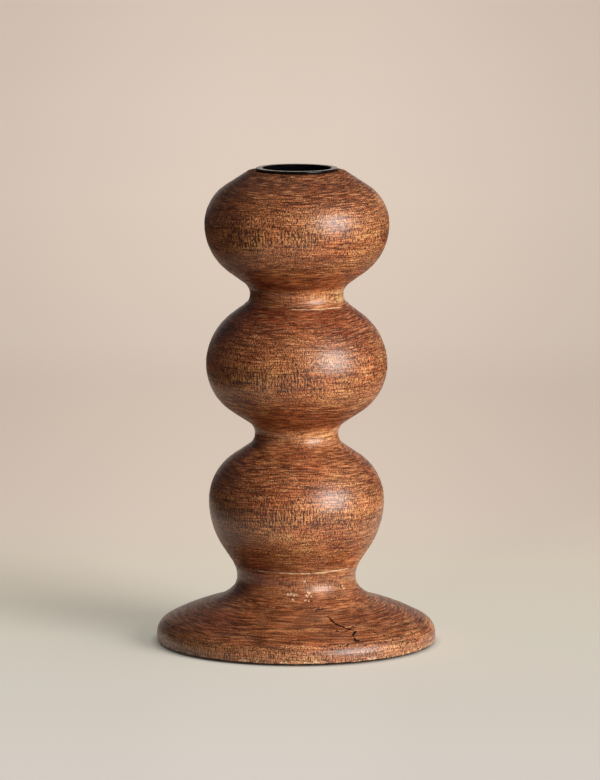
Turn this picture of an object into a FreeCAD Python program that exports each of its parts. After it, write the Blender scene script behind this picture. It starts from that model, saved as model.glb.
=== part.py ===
import FreeCAD, Part
import math
import os

# A candle stand turned in wood: a saucer foot, three bobbins one above the other, and a metal candle
# cup that drops into the flat top. Lengths are in millimetres and slopes in degrees. Z is up, along the
# turning axis, and the felt under the foot rests on Z = 0.

# Whole stand, from the felt's underside to the cup's rim
stand_height = 175.0

# Felt disc
felt_thickness = 1.6
felt_proud = 0.4
felt_side_gap = 0.3

# Foot
foot_radius = 51.4
foot_rim_width = 7.0
foot_bottom_round = 0.7
foot_edge_land = 2.8
foot_edge_curve = 6.2
foot_edge_inset = 3.3
foot_arris_slope = 28.0
foot_crown_slope = 15.0
foot_sweep_slope = 43.5
foot_sweep_curve = 18.6
foot_neck_radius = 21.8
foot_neck_lower_curve = 6.4
foot_neck_upper_curve = 11.5
foot_joint_rise = 5.1

# Bobbins and waists above the foot's throat, as shares of the wood's height from there to its flat top
lower_belly_height_share = 0.188
lower_neck_height_share = 0.354
middle_belly_height_share = 0.526
upper_neck_height_share = 0.697
upper_belly_height_share = 0.8695

# Lower bobbin
lower_belly_radius = 32.2
lower_belly_lower_fullness_share = 0.946
lower_belly_upper_fullness_share = 0.931
lower_neck_radius = 15.3
lower_neck_lower_curve = 4.9
lower_neck_upper_curve = 5.3

# Middle bobbin
middle_belly_radius = 33.2
middle_belly_lower_fullness_share = 0.918
middle_belly_upper_fullness_share = 0.949
upper_neck_radius = 17.1
upper_neck_lower_curve = 4.5
upper_neck_upper_curve = 5.4
upper_joint_drop = 3.2

# Upper bobbin
upper_belly_radius = 33.8
upper_belly_lower_fullness_share = 0.937
upper_belly_upper_height_share = 0.855
wood_top_margin = 2.5
socket_side_gap = 0.3
socket_end_gap = 0.6

# Dowels
dowel_radius = 5.0
dowel_length = 30.0
dowel_chamfer = 1.0
dowel_flute_radius = 0.5
dowel_flute_count = 12
dowel_glue_gap = 0.1
dowel_end_gap = 1.0

# Screw and washer
screw_length = 40.0
screw_shank_radius = 2.3
screw_shank_length = 15.0
screw_core_radius = 1.7
screw_thread_radius = 2.5
screw_thread_pitch = 2.2
screw_thread_width = 1.1
screw_tip_length = 4.5
screw_thread_play = 0.05
screw_side_gap = 0.4
screw_end_gap = 2.0
screw_head_radius = 4.6
screw_head_height = 3.2
screw_head_round = 1.6
screw_cross_length = 4.4
screw_cross_width = 1.0
screw_cross_depth = 1.6
washer_radius = 7.5
washer_thickness = 1.2
washer_side_gap = 0.5
counterbore_depth = 9.6

# Candle cup
cup_bore_radius = 12.0
cup_wall = 0.8
cup_flange_width = 2.4
cup_flange_thickness = 1.1
cup_flange_round = 0.4
cup_lip_round = 0.6
cup_straight_length = 8.0
cup_depth = 21.0
cup_taper = 1.4
cup_corner_round = 1.2

# Pricket
pricket_radius = 1.5
pricket_shank_length = 6.0
pricket_point_length = 4.5
pricket_point_radius = 0.15
pricket_collar_radius = 3.2
pricket_collar_height = 1.0
pricket_tail_radius = 1.2
pricket_tail_play = 0.05
pricket_rivet_radius = 2.3
pricket_rivet_height = 0.8
pricket_rivet_round = 0.4

# One overrun for every cut that leaves a surface
overrun = 1.0


def at(radius, height):
    """Point of a turning section."""
    return FreeCAD.Vector(radius, 0, height)


def facing(slope):
    """Unit vector square to a surface that falls outward at a slope."""
    return at(math.sin(math.radians(slope)), math.cos(math.radians(slope)))


def line(start, end):
    return Part.LineSegment(start, end).toShape()


def curve(centre, radius, first, last):
    """Arc about a centre from one unit vector to another."""
    middle = (first + last).normalize()
    points = [centre + direction * radius for direction in (first, middle, last)]
    return Part.Arc(*points).toShape()


def turned(edges):
    """Solid of revolution about Z of a closed section."""
    section = Part.Face(Part.Wire(edges))
    return section.revolve(FreeCAD.Vector(0, 0, 0), FreeCAD.Vector(0, 0, 1), 360)


def rounded_section(corners):
    """Closed section through corners, each given as its radius, its height and its rounding."""
    points = [at(radius, height) for radius, height, rounding in corners]
    ends = []
    arcs = []
    for index, (radius, height, rounding) in enumerate(corners):
        corner = points[index]
        back = (points[index - 1] - corner).normalize()
        ahead = (points[(index + 1) % len(points)] - corner).normalize()
        if rounding == 0:
            ends.append((corner, corner))
            arcs.append(None)
            continue
        half = back.getAngle(ahead) / 2
        reach = rounding / math.tan(half)
        inward = (back + ahead).normalize()
        middle = corner + inward * (rounding / math.sin(half) - rounding)
        first = corner + back * reach
        last = corner + ahead * reach
        ends.append((first, last))
        arcs.append(Part.Arc(first, middle, last).toShape())
    edges = []
    for index, arc in enumerate(arcs):
        if arc:
            edges.append(arc)
        following = (index + 1) % len(ends)
        edges.append(line(ends[index][1], ends[following][0]))
    return edges


def bored(piece, radius, low, high):
    """The piece with a round hole along the axis between two heights."""
    return piece.cut(Part.makeCylinder(radius, high - low, at(0, low)))


# Unit vectors in the turning section
outward = at(1, 0)
downward = at(0, -1)

# The foot's section, from the bottom edge up to its throat
foot_bottom = felt_proud
edge_cosine = 1 - foot_edge_inset / foot_edge_curve
edge_facing = at(edge_cosine, math.sqrt(1 - edge_cosine ** 2))
arris_facing = facing(foot_arris_slope)
crown_facing = facing(foot_crown_slope)
sweep_facing = facing(foot_sweep_slope)
edge_centre = at(foot_radius - foot_edge_curve, foot_bottom + foot_edge_land)
arris = edge_centre + edge_facing * foot_edge_curve
sweep_width = foot_sweep_curve * (sweep_facing.x - crown_facing.x)
throat_width = foot_neck_lower_curve * (1 - sweep_facing.x)
crown_width = arris.x - foot_neck_radius - sweep_width - throat_width
crown_curve = crown_width / (arris_facing.x - crown_facing.x)
crown_centre = arris - arris_facing * crown_curve
crown_end = crown_centre + crown_facing * crown_curve
sweep_centre = crown_end + crown_facing * foot_sweep_curve
sweep_end = sweep_centre - sweep_facing * foot_sweep_curve
throat_centre = sweep_end + sweep_facing * foot_neck_lower_curve

# Heights along the axis
wood_top = stand_height - cup_flange_thickness
foot_neck_height = throat_centre.z
column_height = wood_top - foot_neck_height
lower_belly_height = foot_neck_height + lower_belly_height_share * column_height
lower_neck_height = foot_neck_height + lower_neck_height_share * column_height
middle_belly_height = foot_neck_height + middle_belly_height_share * column_height
upper_neck_height = foot_neck_height + upper_neck_height_share * column_height
upper_belly_height = foot_neck_height + upper_belly_height_share * column_height
foot_joint = foot_neck_height + foot_joint_rise
middle_joint = lower_neck_height
upper_joint = upper_neck_height - upper_joint_drop
counterbore_top = foot_bottom + counterbore_depth
cup_floor_top = stand_height - cup_depth
cup_floor_bottom = cup_floor_top - cup_wall
rivet_bottom = cup_floor_bottom - pricket_rivet_height

# Sizes that follow from what they hold or cover
felt_radius = foot_radius - foot_rim_width - felt_side_gap
cup_outer_radius = cup_bore_radius + cup_wall
flange_radius = cup_outer_radius + cup_flange_width
wood_top_radius = flange_radius + wood_top_margin
dowel_hole_radius = dowel_radius + dowel_glue_gap
dowel_hole_depth = dowel_length / 2 + dowel_end_gap


def foot_flank():
    """Edges from the axis under the foot, round its edge and up its saucer to the throat of the waist."""
    inner = at(foot_radius - foot_bottom_round, foot_bottom)
    corner = at(foot_radius - foot_bottom_round, foot_bottom + foot_bottom_round)
    land = at(foot_radius, foot_bottom + foot_bottom_round)
    return [
        line(at(0, foot_bottom), inner),
        curve(corner, foot_bottom_round, downward, outward),
        line(land, edge_centre + outward * foot_edge_curve),
        curve(edge_centre, foot_edge_curve, outward, edge_facing),
        curve(crown_centre, crown_curve, arris_facing, crown_facing),
        curve(sweep_centre, foot_sweep_curve, -crown_facing, -sweep_facing),
        curve(throat_centre, foot_neck_lower_curve, -sweep_facing, -outward),
    ]


def waist_flank(belly_radius, belly_height, fullness_share, neck_radius, neck_height, neck_curve):
    """Edges from the widest circle of a bobbin to the throat of a waist: two arcs and a straight between."""
    up = 1 if neck_height > belly_height else -1
    rise = abs(neck_height - belly_height)
    depth = belly_radius - neck_radius
    belly_curve = fullness_share * ((depth ** 2 + rise ** 2) / (2 * depth) - neck_curve)
    belly_centre = at(belly_radius - belly_curve, belly_height)
    neck_centre = at(neck_radius + neck_curve, neck_height)
    across = neck_centre.x - belly_centre.x
    apart = math.hypot(across, rise)
    turn = math.atan2(rise, across) - math.acos((belly_curve + neck_curve) / apart)
    slant = at(math.cos(turn), up * math.sin(turn))
    return [
        curve(belly_centre, belly_curve, outward, slant),
        line(belly_centre + slant * belly_curve, neck_centre - slant * neck_curve),
        curve(neck_centre, neck_curve, -slant, -outward),
    ]


def top_flank():
    """Edges from the widest circle of the upper bobbin to the flat top and in to the axis."""
    height = wood_top - upper_belly_height
    shoulder_curve = upper_belly_upper_height_share * height
    centre = at(upper_belly_radius - shoulder_curve, upper_belly_height)
    across = wood_top_radius - centre.x
    apart = math.hypot(across, height)
    turn = math.atan2(height, across) - math.acos(shoulder_curve / apart)
    slant = at(math.cos(turn), math.sin(turn))
    return [
        curve(centre, shoulder_curve, outward, slant),
        line(centre + slant * shoulder_curve, at(wood_top_radius, wood_top)),
        line(at(wood_top_radius, wood_top), at(0, wood_top)),
    ]


def turned_stack():
    """The whole outline of the wood as one solid, before the pieces are parted at the joints."""
    edges = foot_flank()
    edges += waist_flank(lower_belly_radius, lower_belly_height, lower_belly_lower_fullness_share,
                         foot_neck_radius, foot_neck_height, foot_neck_upper_curve)[::-1]
    edges += waist_flank(lower_belly_radius, lower_belly_height, lower_belly_upper_fullness_share,
                         lower_neck_radius, lower_neck_height, lower_neck_lower_curve)
    edges += waist_flank(middle_belly_radius, middle_belly_height, middle_belly_lower_fullness_share,
                         lower_neck_radius, lower_neck_height, lower_neck_upper_curve)[::-1]
    edges += waist_flank(middle_belly_radius, middle_belly_height, middle_belly_upper_fullness_share,
                         upper_neck_radius, upper_neck_height, upper_neck_lower_curve)
    edges += waist_flank(upper_belly_radius, upper_belly_height, upper_belly_lower_fullness_share,
                         upper_neck_radius, upper_neck_height, upper_neck_upper_curve)[::-1]
    edges += top_flank()
    edges.append(line(at(0, wood_top), at(0, foot_bottom)))
    return turned(edges)


def parted(stack, low, high):
    """The stretch of the turned stack between two heights."""
    reach = foot_radius + upper_belly_radius
    return stack.common(Part.makeCylinder(reach, high - low, at(0, low)))


def foot(stack):
    wood = parted(stack, foot_bottom, foot_joint)
    wood = bored(wood, felt_radius + felt_side_gap, foot_bottom - overrun, felt_thickness)
    wood = bored(wood, washer_radius + washer_side_gap, foot_bottom, counterbore_top)
    return bored(wood, screw_thread_radius + screw_side_gap, foot_bottom, foot_joint + overrun)


def lower_bobbin(stack):
    wood = parted(stack, foot_joint, middle_joint)
    screw_hole_top = counterbore_top - washer_thickness + screw_length + screw_end_gap
    wood = bored(wood, screw_thread_radius + screw_thread_play, foot_joint - overrun, screw_hole_top)
    return bored(wood, dowel_hole_radius, middle_joint - dowel_hole_depth, middle_joint + overrun)


def middle_bobbin(stack):
    wood = parted(stack, middle_joint, upper_joint)
    wood = bored(wood, dowel_hole_radius, middle_joint - overrun, middle_joint + dowel_hole_depth)
    return bored(wood, dowel_hole_radius, upper_joint - dowel_hole_depth, upper_joint + overrun)


def upper_bobbin(stack):
    wood = parted(stack, upper_joint, wood_top)
    wood = bored(wood, dowel_hole_radius, upper_joint - overrun, upper_joint + dowel_hole_depth)
    return bored(wood, cup_outer_radius + socket_side_gap, rivet_bottom - socket_end_gap, wood_top + overrun)


def dowel(joint):
    """Fluted dowel with chamfered ends, half in the wood on each side of a joint."""
    low = joint - dowel_length / 2
    high = joint + dowel_length / 2
    narrow = dowel_radius - dowel_chamfer
    peg = turned(rounded_section([
        (0, low, 0),
        (narrow, low, 0),
        (dowel_radius, low + dowel_chamfer, 0),
        (dowel_radius, high - dowel_chamfer, 0),
        (narrow, high, 0),
        (0, high, 0),
    ]))
    for index in range(dowel_flute_count):
        turn = math.radians(360 * index / dowel_flute_count)
        place = FreeCAD.Vector(dowel_radius * math.cos(turn), dowel_radius * math.sin(turn), low - overrun)
        peg = peg.cut(Part.makeCylinder(dowel_flute_radius, dowel_length + 2 * overrun, place))
    return peg


def foot_screw():
    """Pan-head wood screw, pointing up, with its thread as rings and a cross recess in the head."""
    seat = counterbore_top - washer_thickness
    tip = seat + screw_length
    corners = [
        (0, seat - screw_head_height, 0),
        (screw_head_radius, seat - screw_head_height, screw_head_round),
        (screw_head_radius, seat, 0),
        (screw_shank_radius, seat, 0),
        (screw_shank_radius, seat + screw_shank_length, 0),
        (screw_core_radius, seat + screw_shank_length, 0),
    ]
    threaded = screw_length - screw_shank_length - screw_tip_length
    rings = int(threaded / screw_thread_pitch)
    for index in range(rings):
        crest = seat + screw_shank_length + (index + 1) * screw_thread_pitch - screw_thread_width / 2
        corners += [
            (screw_core_radius, crest - screw_thread_width / 2, 0),
            (screw_thread_radius, crest, 0),
            (screw_core_radius, crest + screw_thread_width / 2, 0),
        ]
    corners += [
        (screw_core_radius, tip - screw_tip_length, 0),
        (0, tip, 0),
    ]
    screw = turned(rounded_section(corners))
    low = seat - screw_head_height - overrun
    slot = Part.makeBox(screw_cross_length, screw_cross_width, screw_cross_depth + overrun)
    slot.translate(FreeCAD.Vector(-screw_cross_length / 2, -screw_cross_width / 2, low))
    for angle in (0, 90):
        screw = screw.cut(slot.rotated(FreeCAD.Vector(0, 0, 0), FreeCAD.Vector(0, 0, 1), angle))
    return screw


def screw_washer():
    washer = Part.makeCylinder(washer_radius, washer_thickness, at(0, counterbore_top - washer_thickness))
    return bored(washer, screw_thread_radius + screw_side_gap, foot_bottom, counterbore_top + overrun)


def felt_disc():
    return Part.makeCylinder(felt_radius, felt_thickness)


def candle_cup():
    """Pressed cup: a flange that rests on the wood, a straight bore for the candle, then a slight taper."""
    straight_end = stand_height - cup_lip_round - cup_straight_length
    inner_foot = cup_bore_radius - cup_taper
    outer_foot = cup_outer_radius - cup_taper
    tail_hole = pricket_tail_radius + pricket_tail_play
    return turned(rounded_section([
        (tail_hole, cup_floor_bottom, 0),
        (outer_foot, cup_floor_bottom, cup_corner_round + cup_wall),
        (cup_outer_radius, straight_end, 0),
        (cup_outer_radius, wood_top, 0),
        (flange_radius, wood_top, 0),
        (flange_radius, stand_height, cup_flange_round),
        (cup_bore_radius, stand_height, cup_lip_round),
        (cup_bore_radius, straight_end, 0),
        (inner_foot, cup_floor_top, cup_corner_round),
        (tail_hole, cup_floor_top, 0),
    ]))


def pricket():
    """Spike with a collar on the cup's floor and a tail riveted over underneath."""
    collar_top = cup_floor_top + pricket_collar_height
    shank_top = collar_top + pricket_shank_length
    return turned(rounded_section([
        (0, rivet_bottom, 0),
        (pricket_rivet_radius, rivet_bottom, pricket_rivet_round),
        (pricket_rivet_radius, cup_floor_bottom, 0),
        (pricket_tail_radius, cup_floor_bottom, 0),
        (pricket_tail_radius, cup_floor_top, 0),
        (pricket_collar_radius, cup_floor_top, 0),
        (pricket_collar_radius, collar_top, 0),
        (pricket_radius, collar_top, 0),
        (pricket_radius, shank_top, 0),
        (pricket_point_radius, shank_top + pricket_point_length, 0),
        (0, shank_top + pricket_point_length, 0),
    ]))


def main():
    os.makedirs("parts", exist_ok=True)
    stack = turned_stack()
    pieces = {
        "foot": foot(stack),
        "lower_bobbin": lower_bobbin(stack),
        "middle_bobbin": middle_bobbin(stack),
        "upper_bobbin": upper_bobbin(stack),
        "middle_dowel": dowel(middle_joint),
        "upper_dowel": dowel(upper_joint),
        "foot_screw": foot_screw(),
        "screw_washer": screw_washer(),
        "felt_disc": felt_disc(),
        "candle_cup": candle_cup(),
        "pricket": pricket(),
    }
    for name, shape in pieces.items():
        if shape.ShapeType != "Solid":
            shape = shape.Solids[0]
        shape.exportStep("parts/" + name + ".step")


main()
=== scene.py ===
import math

import bpy
import numpy as np
from mathutils import Matrix, Vector


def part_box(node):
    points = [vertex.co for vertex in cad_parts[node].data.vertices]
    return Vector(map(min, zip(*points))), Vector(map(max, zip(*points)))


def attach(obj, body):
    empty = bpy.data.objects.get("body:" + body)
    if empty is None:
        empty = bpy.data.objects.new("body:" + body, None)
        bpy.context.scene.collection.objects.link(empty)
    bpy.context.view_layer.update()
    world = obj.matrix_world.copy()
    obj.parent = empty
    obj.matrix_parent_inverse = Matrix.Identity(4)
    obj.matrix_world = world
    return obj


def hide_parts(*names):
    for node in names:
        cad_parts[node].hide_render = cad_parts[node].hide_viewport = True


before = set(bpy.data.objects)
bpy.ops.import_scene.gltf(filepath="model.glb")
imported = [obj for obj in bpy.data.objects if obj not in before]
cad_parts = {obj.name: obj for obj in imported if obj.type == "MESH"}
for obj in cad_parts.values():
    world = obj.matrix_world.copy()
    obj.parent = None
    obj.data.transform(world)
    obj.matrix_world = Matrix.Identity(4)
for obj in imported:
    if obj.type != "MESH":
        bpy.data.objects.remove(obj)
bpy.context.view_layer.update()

# A turned wooden candle stand with a black metal candle cup. Lengths are in metres. The turning axis is
# Z, the camera looks along +Y, and azimuth 0 on the stand faces the camera, with positive to its right.

MM = 0.001

# Heights and radii from the frame
foot_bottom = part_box("foot")[0].z
foot_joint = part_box("foot")[1].z
middle_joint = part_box("middle_bobbin")[0].z
upper_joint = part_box("upper_bobbin")[0].z
wood_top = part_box("upper_bobbin")[1].z
stand_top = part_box("candle_cup")[1].z
foot_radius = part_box("foot")[1].x
lower_belly_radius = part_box("lower_bobbin")[1].x
middle_belly_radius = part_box("middle_bobbin")[1].x
upper_belly_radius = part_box("upper_bobbin")[1].x
flange_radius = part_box("candle_cup")[1].x
felt_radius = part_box("felt_disc")[1].x
felt_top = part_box("felt_disc")[1].z
dowel_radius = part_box("middle_dowel")[1].x
middle_dowel_low, middle_dowel_high = (corner.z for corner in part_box("middle_dowel"))
upper_dowel_low, upper_dowel_high = (corner.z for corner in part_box("upper_dowel"))
washer_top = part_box("screw_washer")[1].z
washer_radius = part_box("screw_washer")[1].x
screw_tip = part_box("foot_screw")[1].z
cup_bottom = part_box("candle_cup")[0].z
rivet_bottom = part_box("pricket")[0].z
spike_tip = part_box("pricket")[1].z

# Section of the foot, with slopes in degrees
foot_bottom_round = 0.7 * MM
foot_edge_land = 2.8 * MM
foot_edge_curve = 6.2 * MM
foot_edge_inset = 3.3 * MM
foot_arris_slope = 28
foot_crown_slope = 15
foot_sweep_slope = 43.5
foot_sweep_curve = 18.6 * MM
foot_edge_height = 7.6 * MM
foot_neck_radius = 21.8 * MM
foot_neck_lower_curve = 6.4 * MM

# Bobbins and waists from below, with heights as shares of the way from the foot's throat to the flat top
belly_radii = (lower_belly_radius, middle_belly_radius, upper_belly_radius)
belly_heights = (0.188, 0.526, 0.8695)
neck_radii = (foot_neck_radius, 15.3 * MM, 17.1 * MM)
neck_heights = (0, 0.354, 0.697)
# Flanks of the bobbins from below: the number of the bobbin, its fullness, the number of the waist, its curve
flanks = (
    (0, 0.946, 0, 11.5 * MM),
    (0, 0.931, 1, 4.9 * MM),
    (1, 0.918, 1, 5.3 * MM),
    (1, 0.949, 2, 4.5 * MM),
    (2, 0.937, 2, 5.4 * MM),
)
top_shoulder_share = 0.855
wood_top_margin = 2.5 * MM

# Hollows in the wood
socket_side_gap = 0.3 * MM
socket_end_gap = 0.6 * MM
dowel_glue_gap = 0.1 * MM
dowel_end_gap = 1.0 * MM
screw_hole_radius = 2.55 * MM
screw_end_gap = 2.0 * MM
clearance_hole_radius = 2.9 * MM
washer_side_gap = 0.5 * MM
felt_side_gap = 0.3 * MM

# Section of the cup
cup_bore_radius = 12.0 * MM
cup_wall = 0.8 * MM
cup_flange_round = 0.35 * MM
cup_flange_undercut = 0.3 * MM
cup_lip_round = 1.0 * MM
cup_straight_length = 8.0 * MM
cup_depth = 21.0 * MM
cup_taper = 1.4 * MM
cup_corner_round = 1.2 * MM

# Section of the spike
spike_radius = 1.5 * MM
spike_point_length = 4.5 * MM
spike_point_radius = 0.15 * MM
spike_collar_radius = 3.2 * MM
spike_collar_height = 1.0 * MM
spike_collar_round = 0.25 * MM
spike_shank_round = 0.2 * MM
spike_point_round = 0.1 * MM
spike_tail_radius = 1.2 * MM
rivet_radius = 2.3 * MM
rivet_round = 0.4 * MM
tail_hole_play = 0.05 * MM

# Soft edge and fuzz of the felt, which has none where it is glued
felt_edge_reach = 1.5 * MM
felt_side_heights = (0.45 * MM, 0.8 * MM, 1.2 * MM)
felt_top_inset = 0.3 * MM
felt_fibre_depth = 0.12 * MM
felt_glued_height = 1.3 * MM

# Fineness of the meshes. The foot has more columns between two azimuths, where its cracks are.
skin_step = 0.45 * MM
foot_step = 0.285 * MM
joint_step = 0.12 * MM
bobbin_columns = 320
foot_columns = 240
foot_fine_columns = 240
foot_fine_from = -10
foot_fine_to = 62
cup_columns = 160
spike_columns = 48
felt_columns = 240
felt_rings = 26
arc_step = 2
dense_step = 0.05 * MM
joint_reach = 2 * MM
sharp_angle = 50
same_place = 1e-7

# Marks of hand turning and of use, as depths and sizes
tool_mark_depth = 0.035 * MM
tool_mark_width = 0.9 * MM
fine_mark_depth = 0.018 * MM
fine_mark_width = 0.45 * MM
out_of_round = 0.10 * MM
out_of_round_length = 14 * MM
joint_gap_depth = 0.07 * MM
joint_gap_half_width = 0.15 * MM
ridge_height = 0.16 * MM
ridge_half_width = 0.46 * MM
ridge_below_joint = 0.35 * MM
ridge_wave = 0.22 * MM
edge_chip_depth = 0.40 * MM
edge_chip_reach = 0.9 * MM
edge_chip_length = 0.6 * MM
edge_worn_length = 0.5 * MM
edge_corner_rise = 0.3 * MM
underside_margin = 3 * MM
# Height and fade of the painted shade along the foot's lower corner, where it meets the floor
sole_height = 0.55 * MM
sole_fade = 0.25 * MM
crack_depth = 0.50 * MM
chip_depth = 0.15 * MM
crack_spread = 1.15
pit_spread = 1.25
streak_wander = 7 * MM
pores_round = 176

# How far the colours of the waists, of the foot's edge and of the top reach
foot_throat_rise = 1.0 * MM
foot_throat_reach = 5 * MM
upper_throat_reach = 4.2 * MM
polished_reach = 3.4 * MM
smooth_reaches = (4.2 * MM, 5.2 * MM, 6.5 * MM)
edge_fade = 1.2 * MM
top_shade_depth = 12 * MM
top_shade_fade = 9 * MM
flat_depth = 0.5 * MM
flat_fade = 0.4 * MM

# Cracks in the foot: half the width in millimetres, then azimuth in degrees, radius and height in millimetres
cracks = (
    (0.28, (11.0, 27.0, 17.1), (12.5, 27.3, 17.0)),
    (0.36, (14.6, 28.3, 16.4), (16.8, 28.1, 16.5), (19.4, 28.0, 16.6)),
    (0.36, (20.0, 33.3, 14.7), (20.2, 33.6, 14.6)),
    (0.34, (20.7, 34.5, 14.3), (20.7, 36.6, 13.6), (21.4, 38.1, 13.1), (22.8, 39.7, 12.5),
     (24.4, 40.9, 12.0), (25.6, 41.8, 11.7), (26.6, 42.6, 11.3), (27.9, 43.2, 11.0), (29.1, 44.3, 10.6)),
    (0.46, (28.4, 44.8, 10.3), (26.5, 46.0, 9.8)),
    (0.38, (26.1, 47.7, 8.9), (26.2, 48.7, 8.3), (27.7, 48.9, 8.2)),
)
# Dark pits in the foot: azimuth in degrees, radius, height and size in millimetres
dark_pits = (
    (9.3, 38.5, 13.0, 0.34), (11.1, 36.2, 13.8, 0.24), (11.0, 43.0, 11.2, 0.28),
    (30.2, 41.2, 11.9, 0.22), (41.2, 40.4, 12.2, 0.26), (42.5, 42.6, 11.3, 0.30),
    (57.8, 42.7, 11.3, 0.32), (13.9, 44.9, 10.3, 0.20), (16.2, 44.2, 10.6, 0.20),
    (20.1, 43.0, 11.1, 0.32), (22.0, 43.8, 10.8, 0.32), (21.6, 42.1, 11.5, 0.26),
    (25.9, 39.3, 12.7, 0.26), (29.0, 41.7, 11.7, 0.28), (32.2, 40.7, 12.1, 0.24),
    (19.2, 41.2, 11.9, 0.24), (24.6, 43.4, 11.0, 0.26), (24.9, 34.0, 14.5, 0.22),
    (41.6, 47.9, 8.8, 0.34), (38.2, 45.9, 9.8, 0.28), (64.5, 43.1, 11.1, 0.26),
    (58.8, 49.1, 8.0, 0.36), (49.8, 49.8, 7.3, 0.28), (58.6, 50.9, 5.6, 0.26),
    (40.1, 50.2, 6.9, 0.26), (46.4, 47.8, 8.8, 0.24), (59.9, 46.9, 9.3, 0.24),
    (21.6, 50.0, 7.1, 0.26), (18.4, 50.2, 6.8, 0.26), (29.8, 50.4, 6.6, 0.30),
    (11.4, 50.0, 7.1, 0.24), (-118.0, 36.0, 13.9, 0.34), (-121.0, 37.5, 13.3, 0.24),
    (164.0, 41.0, 12.0, 0.30),
)
# Pale chips where the stain didn't take: azimuth in degrees, radius, height and size in millimetres
pale_chips = (
    (-7.4, 22.6, 21.1, 0.50), (-4.7, 22.4, 21.4, 0.42), (-1.8, 22.7, 21.0, 0.62),
    (0.6, 22.5, 21.2, 0.40), (-2.9, 23.9, 19.5, 0.46), (9.9, 22.9, 20.7, 0.52),
    (11.9, 22.4, 21.5, 0.56), (13.5, 23.0, 20.5, 0.36), (8.0, 24.2, 19.2, 0.44),
    (11.1, 24.5, 18.9, 0.34), (8.3, 21.9, 25.7, 0.46), (51.4, 22.3, 21.9, 0.44),
    (50.5, 22.0, 22.8, 0.36), (131.0, 23.0, 20.6, 0.50), (137.0, 22.6, 21.2, 0.40),
)
# Joints whose edge stands proud and catches the light: the block below it, then the azimuths between which
# its stain is painted pale, as rubbed off and as a painted highlight on the lit side, and how much
rubbed_and_highlit_ridges = {0: (-26, 62, 0.8), 2: (-10, 66, 0.8)}
# How dark the shoulders of the foot and of the lower, middle and upper bobbins are painted, as darker
# stain and as painted shade on the slopes that face up
shoulder_stain_and_shade = (0.50, 0.46, 1.0, 0.48)
# Bands of long open pores under the upper, middle and lower bellies: how far below the widest circle, their
# half width, how open they are, and the azimuths between which they stand closest
pore_bands = (
    (2.2 * MM, 3.0 * MM, 1.0, -42, 16),
    (3.0 * MM, 3.8 * MM, 0.8, -52, 20),
    (2.0 * MM, 4.0 * MM, 0.75, -42, 28),
)
# A long dark streak near the edge of the foot: azimuth in degrees, radius and height in millimetres
edge_streak = ((-82, 48.9, 8.2), (-70, 48.7, 8.35), (-58, 48.3, 8.6), (-44, 47.7, 8.9))
edge_streak_width = 0.42 * MM
edge_streak_darkness = 0.45

# Camera
camera_place = Vector((1.25 * MM, -2.00386, 0.37501))
camera_pitch = math.radians(8.006)
camera_roll = math.radians(0.084)
camera_lens = 254.9
camera_sensor = 36
camera_clip = (0.05, 100)

# Light. A lamp of strength pi shows a surface that faces it in the colour that was written for it.
key_azimuth = 50
key_elevation = 14
key_strength = 3.4
key_width = 38
key_colour = (1.0, 0.96, 0.90)
fill_left = (0.075, 0.046, 0.027)
fill_right = (0.44, 0.40, 0.36)
fill_span = (-0.1, 0.9)
wall_top = (0.17, 0.24)
wall_side = (0.86, 0.96)
wall_colour = (0.66, 0.56, 0.47)
studio_colour = (0.05, 0.05, 0.055)
paper_colour = (0.775, 0.73, 0.67)
dim_paper_colour = (0.34, 0.30, 0.25)
paper_front = 0.6
paper_depth = (-0.3, 3.7)
strip_half_width = 0.16
strip_widening = 0.06
glow_half_width = 0.12
glow_widening = 0.055
glow_shift = 0.008
crevice_shade_reach = 3.5 * MM
floor_half_width = 30
floor_gap = 0.1 * MM


# Unit vector away from the turning axis
outward = np.array([1.0, 0.0])


def facing(slope):
    """Unit vector square to a surface that falls outward at a slope in degrees."""
    return np.array([math.sin(math.radians(slope)), math.cos(math.radians(slope))])


def curve(centre, radius, first, last):
    """Points on an arc about a centre, from one unit vector to another."""
    start = math.atan2(first[1], first[0])
    turn = math.atan2(first[0] * last[1] - first[1] * last[0], float(np.dot(first, last)))
    count = max(4, int(abs(math.degrees(turn)) / arc_step))
    angles = start + np.linspace(0, turn, count)
    return np.asarray(centre) + radius * np.column_stack([np.cos(angles), np.sin(angles)])


def joined(stretches):
    """One outline of several stretches, with no point twice."""
    points = np.vstack(stretches)
    apart = np.linalg.norm(np.diff(points, axis=0), axis=1) > same_place
    return points[np.append(True, apart)]


def rounded(corners):
    """Outline through corners, each given as its radius, its height and its rounding."""
    points = [np.array(corner[:2], float) for corner in corners]
    stretches = [points[0]]
    for index in range(1, len(points) - 1):
        corner = points[index]
        rounding = corners[index][2]
        if rounding == 0:
            stretches.append(corner)
            continue
        back = points[index - 1] - corner
        back /= np.linalg.norm(back)
        ahead = points[index + 1] - corner
        ahead /= np.linalg.norm(ahead)
        half = math.acos(float(np.dot(back, ahead))) / 2
        inward = (back + ahead) / np.linalg.norm(back + ahead)
        centre = corner + inward * rounding / math.sin(half)
        first = corner + back * rounding / math.tan(half)
        last = corner + ahead * rounding / math.tan(half)
        stretches.append(curve(centre, rounding, (first - centre) / rounding, (last - centre) / rounding))
    stretches.append(points[-1])
    return joined(stretches)


def lengths(points):
    """Distance along an outline at each of its points."""
    return np.append(0, np.cumsum(np.linalg.norm(np.diff(points, axis=0), axis=1)))


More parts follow.
